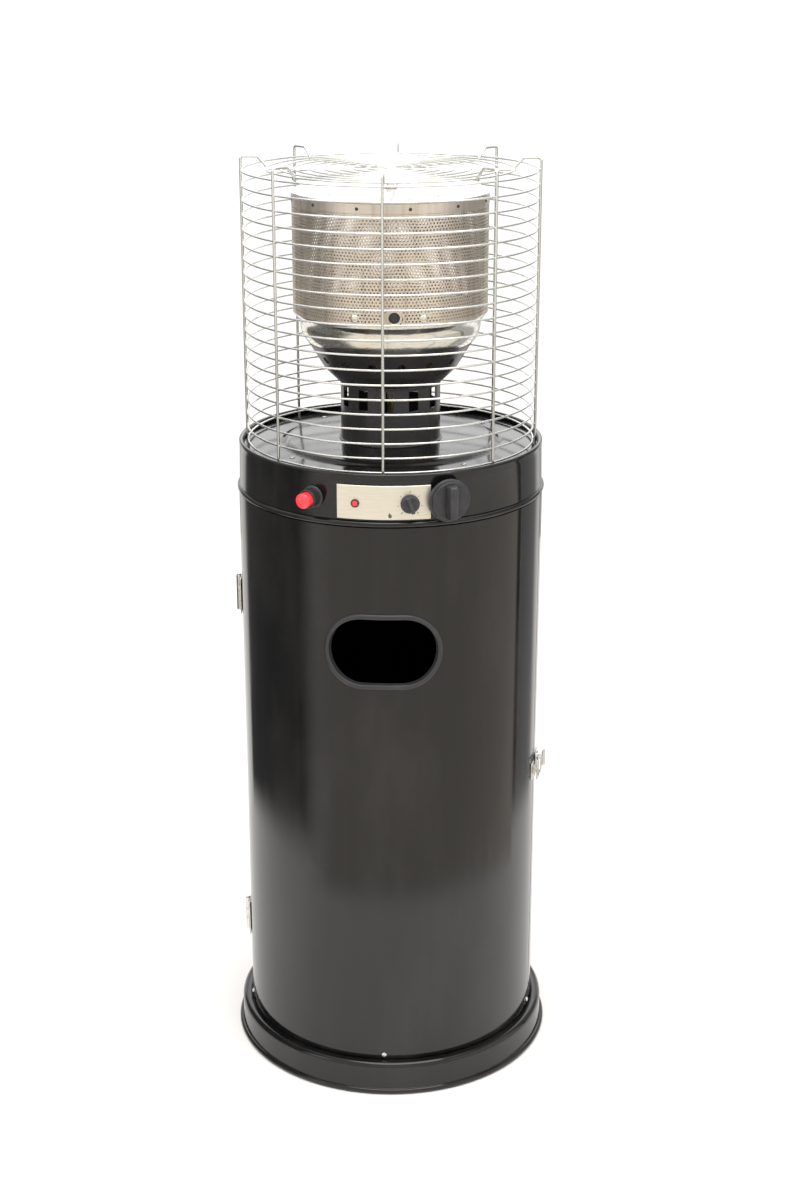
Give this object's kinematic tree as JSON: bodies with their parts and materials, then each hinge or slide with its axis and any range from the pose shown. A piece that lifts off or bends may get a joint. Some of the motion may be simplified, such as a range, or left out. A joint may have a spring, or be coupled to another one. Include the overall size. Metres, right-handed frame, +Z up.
{
  "type": "patio heater",
  "caption": "Round gas patio heater: cylindrical bottle cabinet with rear door, control collar, perforated heat emitter and wire guard.",
  "frame": {"origin": "centre of the base on the floor", "axes": "+Z up, the front with the controls faces -Y, +X to the right as seen from the front"},
  "size_m": [0.486, 0.486, 1.3489],
  "materials": {
    "black_enamel": "gloss black stove enamel on pressed steel",
    "black_plastic": "satin black moulded plastic",
    "perforated_steel": "heat-tinted stainless sheet",
    "polished_steel": "polished stainless, warm reflections",
    "bright_wire": "bright plated steel wire",
    "plated_fittings": "bright plated pressed steel",
    "panel_plate": "champagne satin plate",
    "red_plastic": "glossy red plastic",
    "brass": "turned brass",
    "cast_iron": "bare casting, heat darkened",
    "ceramic": "white glazed ceramic"
  },
  "bodies": {
    "cabinet": {"base_plate": "black_enamel", "front_shell": "black_enamel", "base_ring": "black_enamel", "left_post": "black_enamel", "right_post": "black_enamel", "base_screw_1": "plated_fittings", "base_screw_2": "plated_fittings", "base_screw_3": "plated_fittings", "hand_hole_bezel": "black_plastic", "upper_hinge_leaf": "plated_fittings", "upper_hinge_pin": "plated_fittings", "lower_hinge_leaf": "plated_fittings", "lower_hinge_pin": "plated_fittings", "latch_keeper": "plated_fittings", "collar_band": "black_enamel", "top_plate": "black_enamel", "control_panel": "panel_plate", "lamp_bezel": "black_plastic", "lamp_lens": "red_plastic", "setting_switch": "black_plastic", "igniter_collar": "black_plastic", "igniter_body": "black_plastic", "gas_valve": "brass", "hose_spigot": "brass", "gas_pipe": "brass", "injector": "brass", "burner_head": "cast_iron", "pilot_tube": "brass", "thermocouple_lead": "brass", "ignition_lead": "black_plastic", "pilot_burner": "perforated_steel", "thermocouple": "perforated_steel", "electrode": "ceramic", "tilt_switch": "black_plastic", "neck_tube": "black_enamel", "burner_pan": "black_enamel", "reflector_bowl": "polished_steel", "emitter_screen": "perforated_steel", "emitter_band": "perforated_steel", "emitter_cap": "polished_steel", "cap_bolt": "plated_fittings", "guard_panel_1": "bright_wire", "guard_panel_2": "bright_wire", "guard_panel_3": "bright_wire", "guard_panel_4": "bright_wire", "guard_panel_5": "bright_wire", "guard_panel_6": "bright_wire", "guard_panel_7": "bright_wire", "guard_panel_8": "bright_wire", "guard_top": "bright_wire"},
    "door": {"rear_door": "black_enamel", "upper_hinge_door_leaf": "plated_fittings", "lower_hinge_door_leaf": "plated_fittings", "latch_base": "plated_fittings"},
    "latch_lever": {"latch_lever": "plated_fittings"},
    "latch_bail": {"latch_bail": "plated_fittings"},
    "igniter_button": {"igniter_button": "red_plastic"},
    "setting_knob": {"setting_knob": "black_plastic"},
    "gas_spindle": {"gas_spindle": "plated_fittings"},
    "gas_knob": {"gas_knob": "black_plastic"}
  },
  "joints": [
    {"name": "door_hinge", "type": "hinge", "parent": "cabinet", "child": "door", "pos_m": [-0.22586, -0.00789, 0.443], "axis": [0, 0, 1], "range_deg": [0, 115]},
    {"name": "latch_lever_turn", "type": "hinge", "parent": "door", "child": "latch_lever", "pos_m": [0.2239, -0.03261, 0.45], "axis": [0, 0, -1], "range_deg": [0, 100]},
    {"name": "latch_bail_turn", "type": "hinge", "parent": "latch_lever", "child": "latch_bail", "pos_m": [0.22667, -0.02685, 0.45], "axis": [0, 0, 1], "range_deg": [0, 120]},
    {"name": "igniter_press", "type": "slide", "parent": "cabinet", "child": "igniter_button", "axis": [0.4352, 0.9003, 0], "range_m": [0, 0.005], "stiffness_N_per_m": 400, "springref_m": -0.002},
    {"name": "setting_turn", "type": "hinge", "parent": "cabinet", "child": "setting_knob", "pos_m": [0.03719, -0.21988, 0.912], "axis": [0.1668, -0.986, 0], "range_deg": [-130, 130]},
    {"name": "gas_knob_turn", "type": "hinge", "parent": "cabinet", "child": "gas_spindle", "pos_m": [0.09061, -0.2114, 0.915], "axis": [0.3939, -0.9191, 0], "range_deg": [0, 180]},
    {"name": "gas_knob_push", "type": "slide", "parent": "gas_spindle", "child": "gas_knob", "axis": [-0.3939, 0.9191, 0], "range_m": [0, 0.003], "stiffness_N_per_m": 500, "springref_m": -0.002}
  ],
  "couplings": [
    {"joint": "latch_bail_turn", "follows": "latch_lever_turn", "ratio": 1.15}
  ]
}
